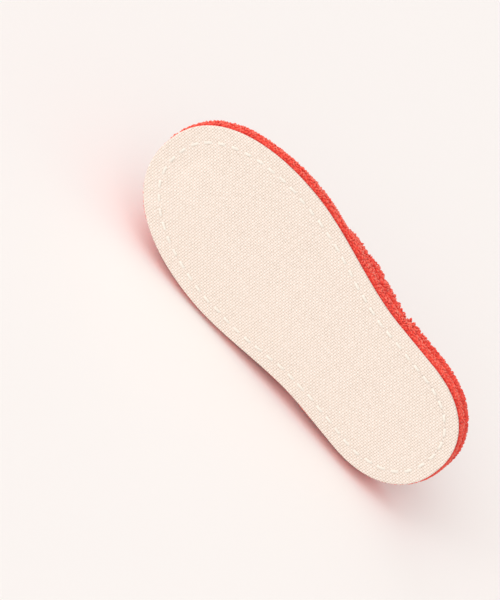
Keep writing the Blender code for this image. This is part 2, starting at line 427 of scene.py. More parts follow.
# %% [markdown]
# The set is a plain pale floor with soft studio light. Area lamps are the usual softboxes, but near ones
# leave a bright patch on the floor. A sun lamp with a very wide disc is like a large softbox far away,
# and lights the floor evenly. The stronger one shines from the camera's side, so that its shadow hides
# behind the slipper. The weaker one shines on the toe and opens the shadow beside it, and an even pale
# room fills the rest. The floor is a wide sheet, so no horizon shows in the picture.

# %% Floor and light
FLOOR_SIZE = 30.0
ROOM_PALE = (1.0, 0.985, 0.975, 1.0)
ROOM_STRENGTH = 0.56
SOFTBOX_DISC = math.radians(85)
SOFTBOX_PALE = (1.0, 0.985, 0.97)
# where each softbox stands, seen from the slipper, and its strength
SOFTBOXES = {
    "front_softbox": ((-0.22, -0.70, 0.68), 1.33),
    "toe_softbox": ((-0.85, 0.05, 0.52), 1.06),
}


def add_floor():
    mesh = bpy.data.meshes.new("floor")
    reach = FLOOR_SIZE / 2
    corners = [(-reach, -reach, 0), (reach, -reach, 0), (reach, reach, 0), (-reach, reach, 0)]
    mesh.from_pydata(corners, [], [(0, 1, 2, 3)])
    mesh.materials.append(floor_paper.material)
    floor = bpy.data.objects.new("floor", mesh)
    bpy.context.scene.collection.objects.link(floor)


def add_softbox(name, direction, strength):
    data = bpy.data.lights.new(name, "SUN")
    data.angle = SOFTBOX_DISC
    data.energy = strength
    data.color = SOFTBOX_PALE
    lamp = bpy.data.objects.new(name, data)
    lamp.rotation_euler = (-Vector(direction)).to_track_quat("-Z", "Y").to_euler()
    bpy.context.scene.collection.objects.link(lamp)


def add_room():
    world = bpy.data.worlds.new("room")
    world.use_nodes = True
    background = world.node_tree.nodes["Background"]
    background.inputs["Color"].default_value = ROOM_PALE
    background.inputs["Strength"].default_value = ROOM_STRENGTH
    bpy.context.scene.world = world
    bpy.context.scene.view_settings.view_transform = "Standard"


add_floor()
add_room()
for softbox, (stands, power) in SOFTBOXES.items():
    add_softbox(softbox, stands, power)
print("light from", list(SOFTBOXES), "and a room of strength", ROOM_STRENGTH)

# %% [markdown]
# The sole is a heavy plain-weave canvas, in which each thread goes over one and under the next. Threads
# could be modelled one by one, but these are too fine for it, so they are bump and colour, read from the
# slipper's own plan. The height is the higher of two rounded threads, one raised and one lowered in turn
# like a chessboard. The colour follows that height as well: painted shade in the gaps between threads,
# and a painted highlight on their tops, a little stronger where the weft lies over. The weft is a few
# degrees off square, as cut canvas often is, and each thread wanders a little and has its own tint.
# Thicker places in the yarn, its slubs, and a slow cloud do the rest.

# %% Canvas finish
WEFT_PITCH = 0.001485
WARP_PITCH = 0.00128
WEFT_SKEW = math.radians(4.0)
THREAD_WOBBLE = 0.0009
WOBBLE_SCALE = 220.0
SLUB_SCALE = 420.0
CANVAS_CLOUD_SCALE = 35.0
# the height of each thread halfway, and how far a crossing raises the one and lowers the other
WEFT_HEIGHT = 0.62
WARP_HEIGHT = 0.50
CROSSING_HEIGHT = 0.38
WEAVE_DEPTH = 0.00022
SLUB_BUMP = 0.35
# what each thing adds to the tone, which runs from painted shade in the gaps between threads to a painted
# highlight on their tops; the weave and crossing terms paint that light, the others are the canvas's own
WEAVE_SHADE_TONE = 0.76
CROSSING_SHADE_TONE = 0.09
THREAD_TONE = 0.03
SLUB_TONE = 0.30
CANVAS_CLOUD_TONE = 0.02
TONE_DROP = 0.11
# painted shade in the gaps between threads, the canvas's middle colour, and painted highlight on thread tops
CANVAS_GAP_SHADE = (0.51, 0.405, 0.32)
CANVAS_MIDDLE = (0.875, 0.755, 0.665)
CANVAS_LIGHT = (0.97, 0.875, 0.805)
CANVAS_STOPS = ((0.05, CANVAS_GAP_SHADE), (0.45, CANVAS_MIDDLE), (0.85, CANVAS_LIGHT))
# painted shade of the needle holes, laid on the canvas as a dark colour
NEEDLE_HOLE_SHADE = (0.36, 0.31, 0.28, 1.0)


def canvas_finish():
    finish = Finish("canvas", roughness=0.92, Sheen_Weight=0.08, Specular_IOR_Level=0.25)
    place = finish.attribute("slipper", "Vector")
    x, y = (finish.node("ShaderNodeSeparateXYZ", {}, {0: place}, axis) for axis in ("X", "Y"))
    wobble = (finish.noise(place, WOBBLE_SCALE) - 0.5) * THREAD_WOBBLE
    weft = (x + y * math.tan(WEFT_SKEW) + wobble) / WEFT_PITCH
    warp = (y + wobble) / WARP_PITCH
    weft_wave, warp_wave = (finish.maths("SINE", thread * math.pi) for thread in (weft, warp))
    weft_round, warp_round = (finish.maths("ABSOLUTE", wave) for wave in (weft_wave, warp_wave))
    crossing = weft_wave * warp_wave
    weft_height = weft_round * (WEFT_HEIGHT + CROSSING_HEIGHT * crossing)
    warp_height = warp_round * (WARP_HEIGHT - CROSSING_HEIGHT * crossing)
    weave = finish.maths("MAXIMUM", weft_height, warp_height)
    by_number = {"noise_dimensions": "1D"}
    weft_tint, warp_tint = (
        finish.node("ShaderNodeTexWhiteNoise", by_number, {"W": finish.maths("FLOOR", thread)})
        for thread in (weft, warp)
    )
    slub = finish.noise(place, SLUB_SCALE, 3.0)
    cloud = finish.noise(place, CANVAS_CLOUD_SCALE, 3.0)
    # the weave and its crossings paint shade into the gaps and highlight onto the thread tops
    painted_weave_shade = weave * WEAVE_SHADE_TONE + crossing * CROSSING_SHADE_TONE
    thread_tone = painted_weave_shade + weft_tint * THREAD_TONE + warp_tint * THREAD_TONE
    tone = thread_tone + slub * SLUB_TONE + cloud * CANVAS_CLOUD_TONE - TONE_DROP
    # the needle holes' painted shade mixes a dark colour into the canvas
    needle = finish.attribute("needle", "Fac")
    finish.feed("Base Color", finish.mix(needle, finish.ramp(tone, CANVAS_STOPS), NEEDLE_HOLE_SHADE))
    finish.bump(weave + slub * SLUB_BUMP, WEAVE_DEPTH)
    return finish.material


canvas = canvas_finish()
print("canvas nodes:", len(canvas.node_tree.nodes))

# %% [markdown]
# A running stitch holds the sole. It could keep one distance from the edge, but a hand guided this one:
# it runs farther in round the toe and drifts outwards at the waist. So its inset changes with the
# distance from the toe. The length of the line that this gives, and the pitch, say how many stitches
# there are, and a place on the line is counted in stitches from the toe's tip.

# %% Line of the stitch
STITCH_PITCH = 0.0084
STITCH_INSET = 0.0080
TOE_STITCH_INSET = 0.0098
TOE_STITCH_END = 0.090
DRIFT = 0.0012
DRIFT_MIDDLE = 0.120
DRIFT_LENGTH = 0.018


def stitch_inset(x):
    """How far in from the edge the stitch runs at this distance from the toe."""
    toe = (TOE_STITCH_INSET - STITCH_INSET) * (1 - smoothstep(0.0, TOE_STITCH_END, x))
    return STITCH_INSET + toe - DRIFT * np.exp(-(((x - DRIFT_MIDDLE) / DRIFT_LENGTH) ** 2))


def stitch_phase(share):
    """How many stitches lie between the toe's tip and this share of the way round the edge."""
    travelled = np.interp(share, np.linspace(0, 1, OUTLINE_SAMPLES + 1), stitch_travel)
    return travelled / stitch_travel[-1] * STITCH_COUNT


stitch_line = ring(OUTLINE_SAMPLES, -stitch_inset(round_the_sole(OUTLINE_SAMPLES)[0]), 0.0)
stitch_line = np.vstack((stitch_line, stitch_line[:1]))
stitch_travel = travel(stitch_line)
STITCH_COUNT = round(stitch_travel[-1] / STITCH_PITCH)
stitch_step = stitch_travel[-1] / STITCH_COUNT
print(STITCH_COUNT, "stitches of", round(stitch_step * 1000, 2), "mm")

# %% [markdown]
# The thread pulls a shallow channel into the sole's face, a little deeper at each needle hole, and the
# cloth between stitches puckers. Bump alone could hint at that, but the channel then has no shadow of its
# own, so it is shaped. Two functions of the inset from the edge and the place along the stitch give the
# holes and the depth.

# %% Relief along the stitch
HOLE_SHARE = 0.71
NEEDLE_RADIUS = 0.00050
NEEDLE_DEPTH = 0.00015
CHANNEL_DEPTH = 0.00008
CHANNEL_WIDTH = 0.0013
PUCKER = 0.00010
PUCKER_SPREAD = 3


def needle_mask(inset, phase):
    """1 at a needle hole, 0 away from it."""
    from_stitch = np.abs(phase % 1 - 0.5)
    from_hole = (from_stitch - HOLE_SHARE / 2) * stitch_step
    distance = np.hypot(from_hole, inset - STITCH_INSET)
    return np.exp(-((distance / NEEDLE_RADIUS) ** 2))


def canvas_relief(inset, phase):
    """How far the sole's face is pulled in at this inset from the edge."""
    away = (inset - STITCH_INSET) / CHANNEL_WIDTH
    pull = np.exp(-(away**2))
    ripple = np.exp(-((away / PUCKER_SPREAD) ** 2)) * np.cos(2 * np.pi * (phase + 0.5))
    return CHANNEL_DEPTH * pull + PUCKER * ripple + NEEDLE_DEPTH * needle_mask(inset, phase)


one_stitch = np.linspace(0, 1, 100)
print("deepest pull of the thread:", round(canvas_relief(STITCH_INSET, one_stitch).max() * 1000, 2), "mm")

# %% [markdown]
# The sole itself is a flat sheet with a cut edge. A plate cut finely all over would hold the relief too,
# but most of its faces would lie idle in the middle. Here rings follow the edge inwards past the stitch,
# closer together near it, and plain strips fill the middle. The rings near the stitch wander with it. Each
# needle hole gets painted shade, a dark colour laid on the canvas, strongest on one side of the heel.

# %% Canvas sole
OUTSOLE_THICKNESS = 0.0025
EDGE_ROUND = 0.0003
LEDGE = 0.003
SOLE_COUNT = 1400
SOLE_LANES = 26
# how strongly the needle holes' painted shade shows, and more on one side of the heel
NEEDLE_SHADE_SHOWS = 0.12
HEEL_NEEDLE_SHADE_SHOWS = 0.50
HEEL_HOLES_START = 0.185
HEEL_HOLES_END = 0.210
# insets of the rings on the face: outside the stitch, close together along it, and inside it
OUTER_INSETS = (EDGE_ROUND, 0.0010, 0.0020, 0.0032, 0.0044, 0.0054)
STITCH_INSETS = np.arange(0.0061, 0.0100, 0.00034)
INNER_INSETS = (0.0104, 0.0114, 0.0128, 0.0153, 0.0188)
SOLE_INSETS = np.concatenate((OUTER_INSETS, STITCH_INSETS, INNER_INSETS))
# the share of the stitch's own wandering that each ring takes
follow_insets = (OUTER_INSETS[0], OUTER_INSETS[-1], INNER_INSETS[0], INNER_INSETS[-1])
RING_FOLLOWS = np.interp(SOLE_INSETS, follow_insets, (0.0, 1.0, 1.0, 0.0))


def build_canvas_sole():
    phase = stitch_phase(np.arange(SOLE_COUNT) / SOLE_COUNT)
    top = OUTSOLE_THICKNESS
    rings = [ring(SOLE_COUNT, -LEDGE, top), ring(SOLE_COUNT, -EDGE_ROUND, top)]
    rings += [ring(SOLE_COUNT, 0.0, top - EDGE_ROUND), ring(SOLE_COUNT, 0.0, EDGE_ROUND)]
    needle = [np.zeros(SOLE_COUNT)] * len(rings)
    wander = stitch_inset(round_the_sole(SOLE_COUNT)[0]) - STITCH_INSET
    for inset, follows in zip(SOLE_INSETS, RING_FOLLOWS):
        rings.append(ring(SOLE_COUNT, -inset - wander * follows, canvas_relief(inset, phase)))
        needle.append(needle_mask(inset, phase))
    points, faces = slab(rings, HIDDEN_LANES, SOLE_LANES)
    hole = np.concatenate((*needle, np.zeros(len(points) - SOLE_COUNT * len(rings))))
    heel = smoothstep(HEEL_HOLES_START, HEEL_HOLES_END, points[:, 0]) * (points[:, 1] < 0)
    # painted shade at the needle holes, stronger on one side of the heel
    dark = hole * (NEEDLE_SHADE_SHOWS + (HEEL_NEEDLE_SHADE_SHOWS - NEEDLE_SHADE_SHOWS) * heel)
    add_piece("canvas_sole", points, faces, canvas, "canvas", "outsole", needle=dark)


build_canvas_sole()

# %% [markdown]
# The thread is plied cotton, a little whiter than the canvas. One flat colour would do at this size, but
# close by it looks like plastic, so a fine noise shades the plies between two near whites.

# %% Thread finish
PLY_SCALE = 900.0
THREAD_SHADE = (0.825, 0.76, 0.678, 1.0)
THREAD_PALE = (0.918, 0.856, 0.772, 1.0)


def thread_finish():
    finish = Finish("white_thread", roughness=0.7, Sheen_Weight=0.1)
    ply = finish.noise(finish.attribute("slipper", "Vector"), PLY_SCALE)
    finish.feed("Base Color", finish.mix(ply, THREAD_SHADE, THREAD_PALE))
    return finish.material


white_thread = thread_finish()
print("thread nodes:", len(white_thread.node_tree.nodes))

# %% [markdown]
# A running stitch shows as short dashes of thread, each diving into a needle hole at both ends. A
# bevelled curve would do for one dash, but all of them together are lighter as one mesh from arrays. Each
# dash is a soft tube, flattened against the canvas, whose middle stands just proud of it and whose ends
# go below it. A slightly oval section that turns along the dash gives the twist of a plied thread.

# %% Sole stitches
STITCH_SEED = 11
STITCH_SHARE = 0.62
STITCH_VARIES = (-0.12, 0.10)
STITCH_WAVER = 0.00014
THREAD_RADIUS = 0.00095
THREAD_FLAT = 0.36
THREAD_PROUD = 0.00010
THREAD_SINK = 0.0008
DIVE_POWER = 5
THREAD_STEPS = 14
THREAD_SIDES = 8
THREAD_TURNS = 2.5
THREAD_OVAL = 0.14


def tube(centres, normals, radius, sides, turns=0.0, oval=0.0, flat=1.0):
    """Tubes along rows of centres, closed at both ends: (points, faces). Arrays are (tubes, steps, 3).

    The section's size along the normals is the flat share of its width.
    """
    count, steps = centres.shape[:2]
    along = np.gradient(centres, axis=1)
    along /= np.linalg.norm(along, axis=2, keepdims=True)
    beside = np.cross(along, normals)
    beside /= np.linalg.norm(beside, axis=2, keepdims=True)
    over = np.cross(beside, along)
    angle = 2 * np.pi * np.arange(sides) / sides
    twist = 2 * np.pi * turns * np.linspace(0, 1, steps)[:, None]
    reach = radius * (1 + oval * np.cos(2 * (angle - twist)))
    points = (
        centres[:, :, None]
        + beside[:, :, None] * (reach * np.cos(angle))[None, ..., None]
        + over[:, :, None] * (reach * np.sin(angle) * flat)[None, ..., None]
    )
    one = np.array(ring_faces(steps, sides))
    size = steps * sides
    quads = (one[None] + np.arange(count)[:, None, None] * size).reshape(-1, 4).tolist()
    first = (np.arange(count)[:, None] * size + np.arange(sides)[::-1]).tolist()
    last = (np.arange(count)[:, None] * size + size - sides + np.arange(sides)).tolist()
    return points.reshape(-1, 3), [*quads, *first, *last]


def build_sole_stitches():
    draw = np.random.default_rng(STITCH_SEED)
    share = np.linspace(-0.5, 0.5, THREAD_STEPS) * STITCH_SHARE
    length = 1 + draw.uniform(*STITCH_VARIES, STITCH_COUNT)[:, None]
    phase = np.arange(STITCH_COUNT)[:, None] + 0.5 + share * length
    along = phase / STITCH_COUNT * stitch_travel[-1]
    centres = np.stack([np.interp(along, stitch_travel, axis) for axis in stitch_line.T], axis=2)
    centres[..., 1] += draw.normal(0, STITCH_WAVER, (STITCH_COUNT, 1))
    dive = np.abs(share / (STITCH_SHARE / 2)) ** DIVE_POWER
    centres[..., 2] += -THREAD_PROUD + (THREAD_SINK + THREAD_PROUD) * dive
    normals = np.zeros_like(centres)
    normals[..., 2] = -1.0
    section = (THREAD_RADIUS, THREAD_SIDES, THREAD_TURNS, THREAD_OVAL, THREAD_FLAT)
    points, faces = tube(centres, normals, *section)
    add_piece("sole_stitches", points, faces, white_thread, "canvas")


build_sole_stitches()

# %% [markdown]
# Towelling is cotton with a pile of small uncut yarn loops. A bump map looks flat at the edge of the
# picture, and hair would not travel with the mesh, so the loops will be real geometry, and the cloth gets
# two finishes. The first is the ground that shows between the loops, darker and knobbly, with painted
# shade in the hollows between its nubs. It gets more painted shade along the seams, where the nap is short.

# %% Ground of the towelling
RED_DEEP = (0.62, 0.024, 0.016)
RED_MIDDLE = (1.0, 0.096, 0.064)
RED_BRIGHT = (1.0, 0.235, 0.168)
GROUND_STOPS = ((0.15, RED_DEEP), (0.60, RED_MIDDLE), (1.0, RED_BRIGHT))
SHEEN_TINT = (1.0, 0.54, 0.50, 1.0)
NUB_SCALE = 620.0
NUB_DEPTH = 0.0006
YARN_SCALE = 1500.0
YARN_BUMP = 0.3
GROUND_CLOUD_SCALE = 55.0
# the ground's own tone, and what each thing adds to it or takes away; nubs and seams take away painted shade
GROUND_TONE = 0.75
NUB_SHADE_TONE = 0.7
YARN_TONE = 0.35
GROUND_CLOUD_TONE = 0.25
SEAM_SHADE_TONE = 0.8


def ground_finish():
    finish = Finish(
        "towelling_ground", roughness=0.95, Sheen_Weight=0.15, Sheen_Tint=SHEEN_TINT, Specular_IOR_Level=0.2
    )
    place = finish.attribute("slipper", "Vector")
    cells = {"Vector": place, "Scale": NUB_SCALE}
    nubs = finish.node("ShaderNodeTexVoronoi", {"feature": "SMOOTH_F1"}, cells)
    yarn = finish.noise(place, YARN_SCALE, 3.0)
    cloud = finish.noise(place, GROUND_CLOUD_SCALE, 3.0)
    # painted shade along the seams, the more the shorter the nap
    seam_shade = 1 - finish.attribute("nap", "Fac")
    # the nubs paint shade into the hollows between them, matching the bump below
    cloth = GROUND_TONE - nubs * NUB_SHADE_TONE + yarn * YARN_TONE + cloud * GROUND_CLOUD_TONE
    finish.feed("Base Color", finish.ramp(cloth - seam_shade * SEAM_SHADE_TONE, GROUND_STOPS))
    finish.bump(yarn * YARN_BUMP - nubs, NUB_DEPTH)
    return finish.material


towelling_ground = ground_finish()
print("nodes of the ground:", len(towelling_ground.node_tree.nodes))

# %% [markdown]
# The second finish is that of the loops. Noise could colour them, but it runs across neighbours as if
# they were one surface. Instead each vertex knows how high it stands in the pile and each loop has a tint
# of its own, and those two numbers are all that the colour needs. The height is painted shade low in the
# pile and a painted highlight at the tips of the loops; the tint is the yarn's own.

# %% Pile of the towelling
# painted shade low in the pile, painted highlight at the tips
PILE_STOPS = ((0.10, RED_DEEP), (0.50, RED_MIDDLE), (0.95, RED_BRIGHT))
PILE_DEPTH_SHADE = 0.62
LOOP_TONE = 0.38


def pile_finish():
    finish = Finish(
        "towelling_pile", roughness=0.9, Sheen_Weight=0.55, Sheen_Tint=SHEEN_TINT, Specular_IOR_Level=0.2
    )
    tone = finish.attribute("pile", "Fac") * PILE_DEPTH_SHADE + finish.attribute("tint", "Fac") * LOOP_TONE
    finish.feed("Base Color", finish.ramp(tone, PILE_STOPS))
    return finish.material


towelling_pile = pile_finish()
print("nodes of the pile:", len(towelling_pile.node_tree.nodes))

# %% [markdown]
# Towelling that is stretched over padding swells between its two seams. A simulated cloth could be pulled
# over the foam, but an edge this low, held all round, only has one shape to take, and a formula gives it
# at once. A slow unevenness keeps it from looking turned on a lathe. Every vertex will also store how
# tall the pile stands there, its nap. It is short along the seams, most of all on the canvas, and where it
# is short the finishes lay painted shade, so that the seams still read as soft dark creases under the loops.

# %% Swelling edges
SWELL_POWER = 0.6
TOE_TUCK = 0.0016
TOE_TUCK_LENGTH = 0.012
# short nap at the seams, where the finishes lay painted shade
SOLE_SEAM_NAP = 0.08
UPPER_SEAM_NAP = 0.50
UNEVEN_WAVES = (7, 12, 19)
WAVE_START = 6.3


def toe_tuck(x):
    """How far the towelling is drawn in round the tip of the toe."""
    return TOE_TUCK * (1 - smoothstep(0.0, TOE_TUCK_LENGTH, x))


def swell(share, lower, upper, bulge):
    """How far an edge stands outside the outline, from its lower seam (share 0) to its upper (share 1)."""
    return lower + (upper - lower) * share + bulge * np.sin(np.pi * np.clip(share, 0, 1)) ** SWELL_POWER


def edge_nap(share):
    """How tall the pile stands: full on the swell of an edge, short at its seams on the sole and above."""
    seam_nap = SOLE_SEAM_NAP + (UPPER_SEAM_NAP - SOLE_SEAM_NAP) * share
    return seam_nap + (1 - seam_nap) * np.sin(np.pi * np.clip(share, 0, 1))


def uneven(count, seed):
    """A slow wave round the sole, a few centimetres long, between -1 and 1."""
    draw = np.random.default_rng(seed)
    turn = 2 * np.pi * np.arange(count) / count
    waves = [np.sin(turn * n + draw.uniform(0, WAVE_START)) / len(UNEVEN_WAVES) for n in UNEVEN_WAVES]
    return np.sum(waves, axis=0)


print("nap from the lower seam to the upper:", edge_nap(np.linspace(0, 1, 5)).round(2))

# %% [markdown]
# The wall round the sole is a foam slab wrapped in towelling. Its cloth could be a copy of the solid,
# made a little larger, but that would carry the solid's few facets. So the wall is laid ring by ring from
# its own sizes, just outside the solid.

# %% Sole band
FIT_GAP = 0.0003
CLOTH = 0.0002
UNEVEN = 0.00035
BAND_HEIGHT = 0.0105
BAND_BASE = OUTSOLE_THICKNESS + FIT_GAP
BAND_COUNT = 560
BAND_LEVELS = 13
BAND_LOWER = -0.0012
BAND_UPPER = -0.0004
BAND_SWELL = 0.0023
BAND_SEED = 3


def build_band():
    shares = np.linspace(0, 1, BAND_LEVELS)
    x, _ = round_the_sole(BAND_COUNT)
    shift = uneven(BAND_COUNT, BAND_SEED) * UNEVEN + CLOTH - toe_tuck(x)
    rings = []
    for s in shares:
        outside = swell(s, BAND_LOWER, BAND_UPPER, BAND_SWELL) + shift
        rings.append(ring(BAND_COUNT, outside, BAND_BASE + s * BAND_HEIGHT))
    points, faces = slab(rings, HIDDEN_LANES, HIDDEN_LANES)
    nap = np.zeros(len(points))
    nap[: BAND_LEVELS * BAND_COUNT] = np.repeat(edge_nap(shares), BAND_COUNT)
    piece = add_piece("sole_band", points, faces, towelling_ground, "towelling", "midsole", nap=nap)
    return piece


band = build_band()

# %% [markdown]
# The footbed is a pad of the same towelling, thin under the toes and full under the heel. In front it
# lies inside the vamp, and behind the vamp it comes out over the wall as a soft rolled rim. Each of these
# changes could be an edit to a finished mesh, but as functions of the distance from the toe they blend
# into each other. The pile stands longer where the seams of the vamp end and bunch the cloth.

# %% Profile of the footbed
INSOLE_TOE_THICKNESS = 0.0040
INSOLE_HEEL_THICKNESS = 0.0085
INSOLE_RISE_START = 0.0625
INSOLE_RISE_END = 0.200
INSOLE_CLEARANCE = 0.0012
INSOLE_FLARE_START = 0.1662
INSOLE_FLARE_END = 0.1752
INSOLE_PROUD = 0.0022
UPPER_WALL = 0.0030
SEAM_INSET = 0.0004
PROUD_START = 0.120
PROUD_END = 0.165
WING_PROUD = 0.0019
BUNCH_MIDDLE = 0.1690
BUNCH_LENGTH = 0.0090
BUNCH = 1.2


def footbed_thickness(x):
    rise = smoothstep(INSOLE_RISE_START, INSOLE_RISE_END, x)
    return INSOLE_TOE_THICKNESS + (INSOLE_HEEL_THICKNESS - INSOLE_TOE_THICKNESS) * rise


def seam_outside(x):
    """How far the vamp's foot stands outside the outline: a little inside in front, proud at its wings."""
    return (SEAM_INSET + WING_PROUD) * smoothstep(PROUD_START, PROUD_END, x) - SEAM_INSET


def footbed_setback(x):
    """How far inside the outline the footbed lies: within the vamp's wall in front, proud behind it."""
    inside = UPPER_WALL + INSOLE_CLEARANCE - seam_outside(x)
    flare = smoothstep(INSOLE_FLARE_START, INSOLE_FLARE_END, x)
    return toe_tuck(x) + inside - (inside + INSOLE_PROUD) * flare


def bunched(x):
    """How much longer the pile stands where the seam of a wing ends and bunches the towelling."""
    return 1 + BUNCH * np.exp(-(((x - BUNCH_MIDDLE) / BUNCH_LENGTH) ** 2))


print("thickness of the footbed at each fifth:", (footbed_thickness(fifths) * 1000).round(1), "mm")

# %% [markdown]
# The footbed's top is slightly crowned from side to side. A pad of a few millimetres is too thin to blow
# up as a simulated cushion, so it is shaped by formula as well: rings up its edge as on the wall, and
# strips across the top that rise towards the middle.

# %% Footbed
SEAM_LEVEL = BAND_BASE + BAND_HEIGHT + FIT_GAP
INSOLE_CROWN = 0.0012
CROWN_FADE = 0.025
FOOTBED_COUNT = 520
FOOTBED_LEVELS = 10
FOOTBED_LANES = 36
FOOTBED_LOWER = -0.0016
FOOTBED_UPPER = -0.0028
FOOTBED_SWELL = 0.0026
FOOTBED_SEED = 8


def build_footbed():
    shares = np.linspace(0, 1, FOOTBED_LEVELS)
    x, _ = round_the_sole(FOOTBED_COUNT)
    shift = uneven(FOOTBED_COUNT, FOOTBED_SEED) * UNEVEN + CLOTH - footbed_setback(x)
    rings = []
    for s in shares:
        outside = swell(s, FOOTBED_LOWER, FOOTBED_UPPER, FOOTBED_SWELL) + shift
        rings.append(ring(FOOTBED_COUNT, outside, SEAM_LEVEL + s * footbed_thickness(x)))
    points, faces = slab(rings, HIDDEN_LANES, FOOTBED_LANES)
    rows = FOOTBED_COUNT // 2 - 1
    top_points = rows * (FOOTBED_LANES - 1)
    lane = np.tile(np.arange(1, FOOTBED_LANES) / FOOTBED_LANES, rows)
    side = np.repeat(rings[-1][1 : rows + 1, 1], FOOTBED_LANES - 1)
    points[-top_points:, 2] += INSOLE_CROWN * (1 - (2 * lane - 1) ** 2) * np.minimum(1, side / CROWN_FADE)
    nap = np.zeros(len(points))
    nap[: FOOTBED_LEVELS * FOOTBED_COUNT] = (edge_nap(1 - shares / 2)[:, None] * bunched(x)).ravel()
    nap[-top_points:] = 1.0
    piece = add_piece("footbed", points, faces, towelling_ground, "towelling", "insole", nap=nap)
    return piece


footbed = build_footbed()

# %% [markdown]
# The vamp is one wall of towelling from the seam on one side over the instep to the other, open behind at
# a slanted collar. Draped cloth would take a new shape with every change, so it is a sheet of arches
# instead: each starts at a station of the seam and climbs to the crest. In front the arches lean back, and
# towards the collar they sweep forward from wings at the sides.

# %% Arches of the vamp
UPPER_END = 0.168
CREST_FRONT = 0.040
CREST_REAR = 0.106
CREST_POWER = 1.15
TOE_HEIGHT = 0.023
COLLAR_HEIGHT = 0.050
COLLAR_SWEEP = 2.0
WING_START = 0.105
WING_END = 0.150
HEM_SIDE = 0.020
HEM_WIDTH = 0.009


def crest_station(x):
    """How far behind the toe the arch that starts at this station reaches the crest."""
    side_body = UPPER_END - HEM_SIDE
    crest_body = CREST_REAR - HEM_WIDTH
    body = CREST_FRONT + (crest_body - CREST_FRONT) * (np.minimum(x, side_body) / side_body) ** CREST_POWER
    return body + HEM_WIDTH * np.clip((x - side_body) / HEM_SIDE, 0, 1)


def vamp_sheet(x, angle):
    """Outer face: arches from the seam (angle 0) over the crest to the other seam (half a turn)."""
    along = np.cos(angle)
    up = np.sin(angle)
    normal_x, normal_y = edge_normal(x)
    outside = seam_outside(x) - toe_tuck(x)
    swept = smoothstep(0.0, UPPER_END, x)
    lean = np.abs(along) * (1 - swept) + (1 - up) ** COLLAR_SWEEP * swept
    crest = crest_station(x)
    plan_x = crest + (x + normal_x * outside - crest) * lean
    wing = smoothstep(WING_START, WING_END, x)
    arch_side = half_width(x) + normal_y * outside
    wing_side = half_width(plan_x) + seam_outside(x)
    plan_y = along * (arch_side * (1 - wing) + wing_side * wing)
    arch = TOE_HEIGHT + (COLLAR_HEIGHT - TOE_HEIGHT) * plan_x / CREST_REAR
    return np.stack((plan_x, plan_y, SEAM_LEVEL + toe_lift(x) * (1 - up) + arch * up), axis=-1)


print("top of the collar:", vamp_sheet(UPPER_END, math.pi / 2).round(4))

# %% [markdown]
# Worn towelling has soft creases where it flexes and slackens. A cloth simulation would crease wherever it
# fell, so they are placed one by one, by their distance from the toe and their place round the arch. Each is
# a trough along a line, with a low ridge on either side.

# %% Creases of the vamp
ARCH_RADIUS = 0.048
CREASE_RIDGE = 0.6
CREASE_FADE = 1.6
# both ends of each crease as metres from the toe and degrees round the arch, its half width and its depth
CREASES = (
    ((0.085, 56), (0.076, 130), 0.0056, 0.0030),
    ((0.063, 64), (0.056, 122), 0.0048, 0.0020),
    ((0.124, 26), (0.099, 54), 0.0056, 0.0026),
    ((0.128, 158), (0.104, 128), 0.0054, 0.0022),
    ((0.030, 148), (0.047, 138), 0.0046, 0.0013),
)


def crease_depth(from_toe, angle):
    """How far the creases push the face in at these places."""
    place = np.stack((from_toe, np.broadcast_to(angle * ARCH_RADIUS, from_toe.shape)), axis=-1)
    pushed = np.zeros(from_toe.shape)
    for (start_x, start_degrees), (end_x, end_degrees), width, depth in CREASES:
        start = np.array((start_x, math.radians(start_degrees) * ARCH_RADIUS))
        line = np.array((end_x, math.radians(end_degrees) * ARCH_RADIUS)) - start
        share = np.clip((place - start) @ line / (line @ line), 0, 1)
        away = np.linalg.norm(place - start - share[..., None] * line, axis=-1) / width
        pushed += depth * (1 - CREASE_RIDGE * away**2) * np.exp(-(away**2) / CREASE_FADE)
    return pushed


print(len(CREASES), "creases, the deepest", max(depth for *_, depth in CREASES) * 1000, "mm")

# %% [markdown]
# The finished vamp has a face, a lining and a turned hem along the collar. Solidify would give the sheet
# its wall, but not the step and groove of the hem. So the lining follows the face at the thickness of the
# wall, the hem is raised on the face alone, and a rounded rim and two strips along the seams close the
# wall.

# %% Vamp
VAMP_STATIONS = 150
VAMP_ROWS = 52
HEM_STEP = 0.0007
HEM_RISE = 0.08
HEM_GROOVE = 0.0012
HEM_GROOVE_WIDTH = 0.10
LINING_SINK = 0.0006
RIM_BULGE = 0.0007
RIM_SHARES = (0.25, 0.75)
SEAM_NAP_RISE = 14


def grid_faces(rows, columns):
    """Quads of a sheet that is stored row by row."""
    i = np.arange(rows - 1)[:, None] * columns + np.arange(columns - 1)
    return np.stack((i, i + 1, i + columns + 1, i + columns), axis=-1).reshape(-1, 4).tolist()


def sheet_normals(sheet):
    normal = np.cross(np.gradient(sheet, axis=1), np.gradient(sheet, axis=0))
    normal[0, :, 1] = 0.0
    normal[:, (0, -1), 2] = 0.0
    normal /= np.linalg.norm(normal, axis=2, keepdims=True)
    return normal * np.sign(normal[-1, normal.shape[1] // 2, 2])


def vamp_stations():
    """Stations of the arches, spaced evenly along the edge of the sole."""
    x = np.linspace(0, UPPER_END, OUTLINE_SAMPLES) ** 2 / UPPER_END
    along = travel(np.stack((x, half_width(x)), axis=1))
    return np.interp(np.linspace(0, along[-1], VAMP_STATIONS), along, x)[:, None]


